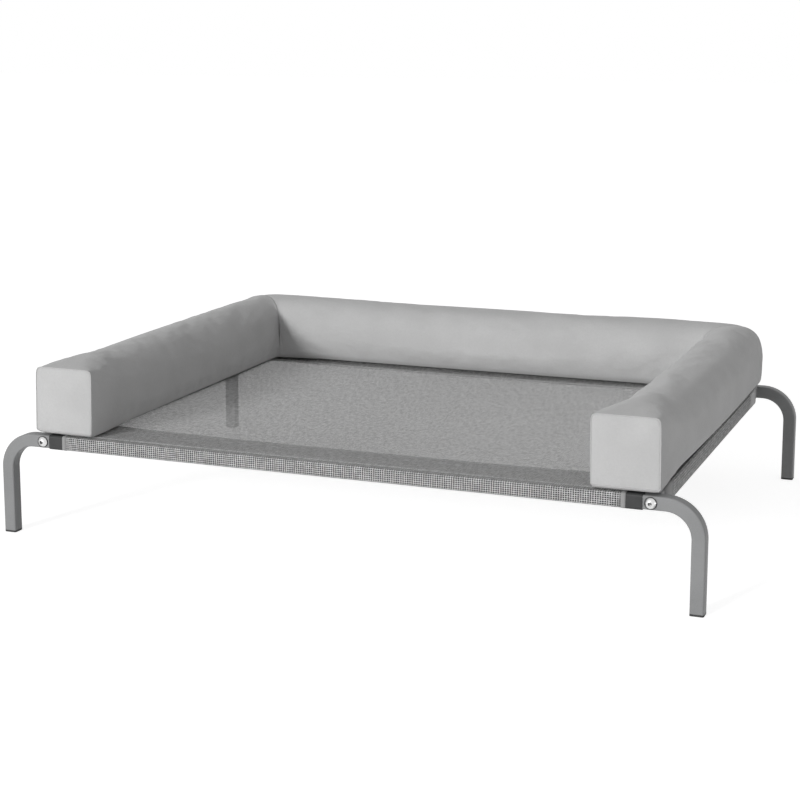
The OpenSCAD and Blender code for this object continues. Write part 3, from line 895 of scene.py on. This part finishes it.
def make_welt(name, ring):
    """The sewn ridge round a flat end panel."""
    centre = ring.mean(axis=0)
    forward = np.array((0.0, -1.0, 0.0))
    points = []
    for spot in ring:
        outward = (spot - centre) / np.linalg.norm(spot - centre)
        points += [spot + WELT_RADIUS * (outward * cosine + forward * sine)
                   for cosine, sine in round_ring(WELT_SIDES)]
    count = len(ring) * WELT_SIDES
    faces = [[corner % count for corner in face] for face in ring_faces(len(ring) + 1, WELT_SIDES)]
    new_piece(name, "bolster_cloth", points, faces, "bolster")


def make_bolster():
    """Two arms and the back, sewn together at mitred corners."""
    corner = np.array((turn_x, turn_y))
    outward = np.array((-1.0, 1.0)) / math.sqrt(2)
    pads = {}
    for side, mirrored in (("left", False), ("right", True)):
        pads[side] = make_pad(f"bolster_{side}_pad", skin_rings(arm_stations(side)), True, mirrored,
                              [f"bolster_{side}_{part}" for part in ("cover", "end", "core")])
        make_welt(f"bolster_{side}_welt", points_of(pads[side].data)[:RING_POINTS])
    pads["back"] = make_pad("bolster_back_pad", skin_rings(back_stations()), False, False,
                            ["bolster_back_cover", "bolster_back_core"])
    for side, start, end, width, height in FOLDS:
        add_fold(pads[side], start, end, width, height)
    for side, turn in (("left", np.ones(2)), ("right", MIRROR)):
        for pad in (pads[side], pads["back"]):
            dip_seam(pad, corner * turn, outward * turn)


deck = make_deck()
stitches = make_stitches()
for side, end in (("front", -1), ("back", 1)):
    make_sleeve(f"{side}_sleeve", False, end, long_sleeve_x, long_sleeve_x)
for side, end in (("left", -1), ("right", 1)):
    make_sleeve(f"{side}_sleeve", True, end, side_sleeve_y, side_hem_half)
make_bindings()
make_bolster()

for subpart in frame["record"]["subparts"]:
    node = frame["nodes"][subpart["node"]]
    if not node.hide_render and subpart["material_slot"] in materials:
        node.data.materials.clear()
        node.data.materials.append(materials[subpart["material_slot"]])


# Studio

CAMERA_PLACE = (0.9889, -2.629, 0.7946)
CAMERA_AZIMUTH = 21.344
CAMERA_PITCH = -9.785
CAMERA_LENS = 78.11
CAMERA_SENSOR = 36.0
CAMERA_SHIFT = -0.10
FLOOR_SIZE = 40.0
FLOOR_GAP = 0.0004
FLOOR_TONE = 0.92
FLOOR_SHADE = 0.5
FLOOR_GLOW = 0.8
HORIZON = 0.37
ZENITH = 0.44
KEY_DIRECTION = (-0.27, -0.92, 0.25)
KEY_DISTANCE = 12.0
KEY_SIZE = 2.1
KEY_POWER = 945.0
FILL_DIRECTION = (1.0, -0.1, 0.0)
FILL_DISTANCE = 4.0
FILL_SIZE = 0.5
FILL_POWER = 8.0


def seen_directly(tree):
    """1 for rays from the camera or a mirror-like or clear surface, and 0 for light that surfaces share."""
    path = add_node(tree, "ShaderNodeLightPath").outputs
    first = math_node(tree, "MAXIMUM", path["Is Camera Ray"], path["Is Glossy Ray"])
    return math_node(tree, "MAXIMUM", first, path["Is Transmission Ray"])


def make_world():
    """A soft even light from all round, which looks white where it is seen."""
    world = bpy.data.worlds.new("studio")
    world.use_nodes = True
    tree = world.node_tree
    direction = add_node(tree, "ShaderNodeTexCoord").outputs["Generated"]
    ambient = spread(tree, axes(tree, direction)["Z"], HORIZON, ZENITH, start=0.0, end=1.0)
    strength = math_node(tree, "MAXIMUM", seen_directly(tree), ambient)
    tree.links.new(strength, tree.nodes["Background"].inputs["Strength"])
    tree.nodes["Background"].inputs["Color"].default_value = grey(1.0)
    bpy.context.scene.world = world


def make_floor():
    """A pale floor that looks white where it is lit and keeps the cot's shadow."""
    bpy.ops.mesh.primitive_plane_add(size=FLOOR_SIZE, location=(0, 0, -FLOOR_GAP))
    floor = bpy.context.object
    floor.name = "floor"
    material = bpy.data.materials.new("floor")
    material.use_nodes = True
    tree = material.node_tree
    tree.nodes.remove(tree.nodes["Principled BSDF"])
    plain = add_node(tree, "ShaderNodeBsdfDiffuse", {"Color": grey(FLOOR_TONE)}).outputs["BSDF"]
    shaded = add_node(tree, "ShaderNodeBsdfDiffuse", {"Color": grey(FLOOR_SHADE)}).outputs["BSDF"]
    white = {"Color": grey(1.0), "Strength": FLOOR_GLOW}
    glow = add_node(tree, "ShaderNodeEmission", white).outputs["Emission"]
    lit = add_node(tree, "ShaderNodeAddShader", {0: shaded, 1: glow}).outputs["Shader"]
    seen = add_node(tree, "ShaderNodeMixShader", {0: seen_directly(tree), 1: plain, 2: lit}).outputs["Shader"]
    tree.links.new(seen, tree.nodes["Material Output"].inputs["Surface"])
    floor.data.materials.append(material)


def make_light(name, direction, distance, size, power):
    """A round soft lamp that faces the cot from the given direction."""
    lamp = bpy.data.lights.new(name, "AREA")
    lamp.shape = "DISK"
    lamp.size = size
    lamp.energy = power
    holder = bpy.data.objects.new(name, lamp)
    toward = Vector(direction).normalized()
    holder.location = toward * distance + Vector((0, 0, rail_z))
    holder.rotation_euler = toward.to_track_quat("Z", "Y").to_euler()
    bpy.context.scene.collection.objects.link(holder)


def make_camera():
    """The photograph's view: place, aim and lens as fitted to the frame's corners."""
    camera = bpy.data.cameras.new("camera")
    camera.sensor_fit = "HORIZONTAL"
    camera.sensor_width = CAMERA_SENSOR
    camera.lens = CAMERA_LENS
    camera.shift_y = CAMERA_SHIFT
    holder = bpy.data.objects.new("camera", camera)
    holder.location = CAMERA_PLACE
    holder.rotation_euler = (math.radians(90 + CAMERA_PITCH), 0, math.radians(CAMERA_AZIMUTH))
    bpy.context.scene.collection.objects.link(holder)
    bpy.context.scene.camera = holder


make_world()
make_floor()
make_light("key", KEY_DIRECTION, KEY_DISTANCE, KEY_SIZE, KEY_POWER)
make_light("fill", FILL_DIRECTION, FILL_DISTANCE, FILL_SIZE, FILL_POWER)
make_camera()
bpy.context.scene.view_settings.view_transform = "Standard"
